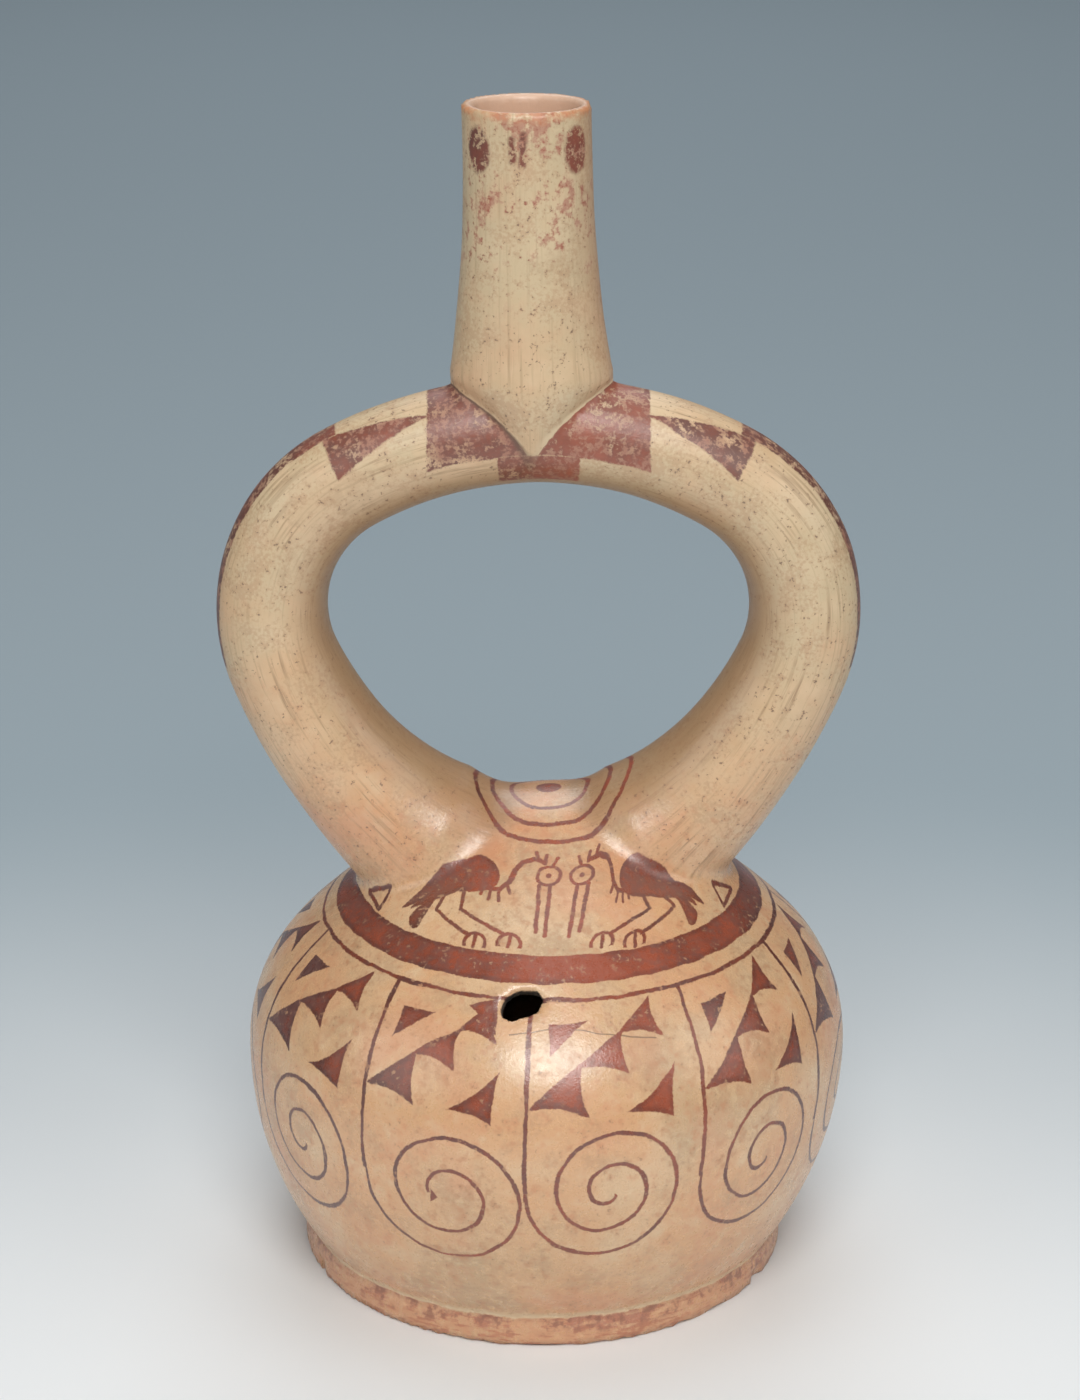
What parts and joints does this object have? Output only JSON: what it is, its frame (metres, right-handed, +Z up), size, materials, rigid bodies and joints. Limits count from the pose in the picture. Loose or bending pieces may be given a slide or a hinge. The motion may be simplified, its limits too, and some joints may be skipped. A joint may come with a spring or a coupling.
{
  "type": "stirrup-spout bottle",
  "caption": "Hollow ceramic bottle: round body on a low foot, arched hollow stirrup handle and a tall narrow spout on its crown, painted with slip spirals and wading birds.",
  "frame": {"origin": "on the floor, at the middle of the bottle's outline seen from above, under the middle of the stirrup", "axes": "+Z up along the body, X across the stirrup from leg to leg, -Y towards the side with the broken hole"},
  "size_m": [0.1348, 0.13, 0.25],
  "materials": {
    "painted_clay": "burnished earthenware with cream slip and red-brown slip painting, worn"
  },
  "bodies": {
    "root": {"bottle": "painted_clay"}
  },
  "joints": []
}
